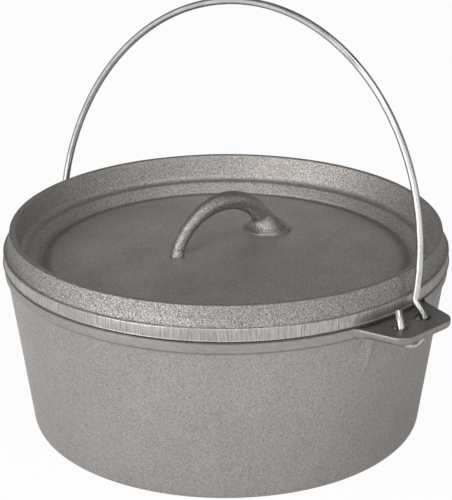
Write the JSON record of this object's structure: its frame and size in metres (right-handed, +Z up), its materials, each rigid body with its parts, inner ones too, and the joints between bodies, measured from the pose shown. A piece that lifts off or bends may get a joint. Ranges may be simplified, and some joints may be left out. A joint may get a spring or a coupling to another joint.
{
  "type": "camp dutch oven",
  "caption": "Wide low cast iron pot with pierced ears, a dished lid with a raised rim and a horn-shaped handle, and a swinging wire bail hooked into the ears.",
  "frame": {"origin": "middle of the pot's underside, on the pot's axis", "axes": "+Z up along the pot's axis, X along the line through the two ears, -Y towards the lid handle's thin foot"},
  "size_m": [0.378, 0.32, 0.301],
  "materials": {
    "pot_iron": "sand-cast, bare, lightly seasoned",
    "lid_iron": "sand-cast, bare, with a ground edge band",
    "bail_wire": "bright drawn wire"
  },
  "bodies": {
    "pot": {"pot": "pot_iron"},
    "lid": {"lid": "lid_iron", "lid_handle": "lid_iron"},
    "bail": {"bail": "bail_wire"}
  },
  "joints": [
    {"name": "bail_swing", "type": "hinge", "parent": "pot", "child": "bail", "pos_m": [0, 0, 0.11955], "axis": [1, 0, 0], "range_deg": [0, 24]},
    {"name": "lid_lift", "type": "slide", "parent": "pot", "child": "lid", "axis": [0, -0.7071, 0.7071], "range_m": [0, 0.36]}
  ]
}
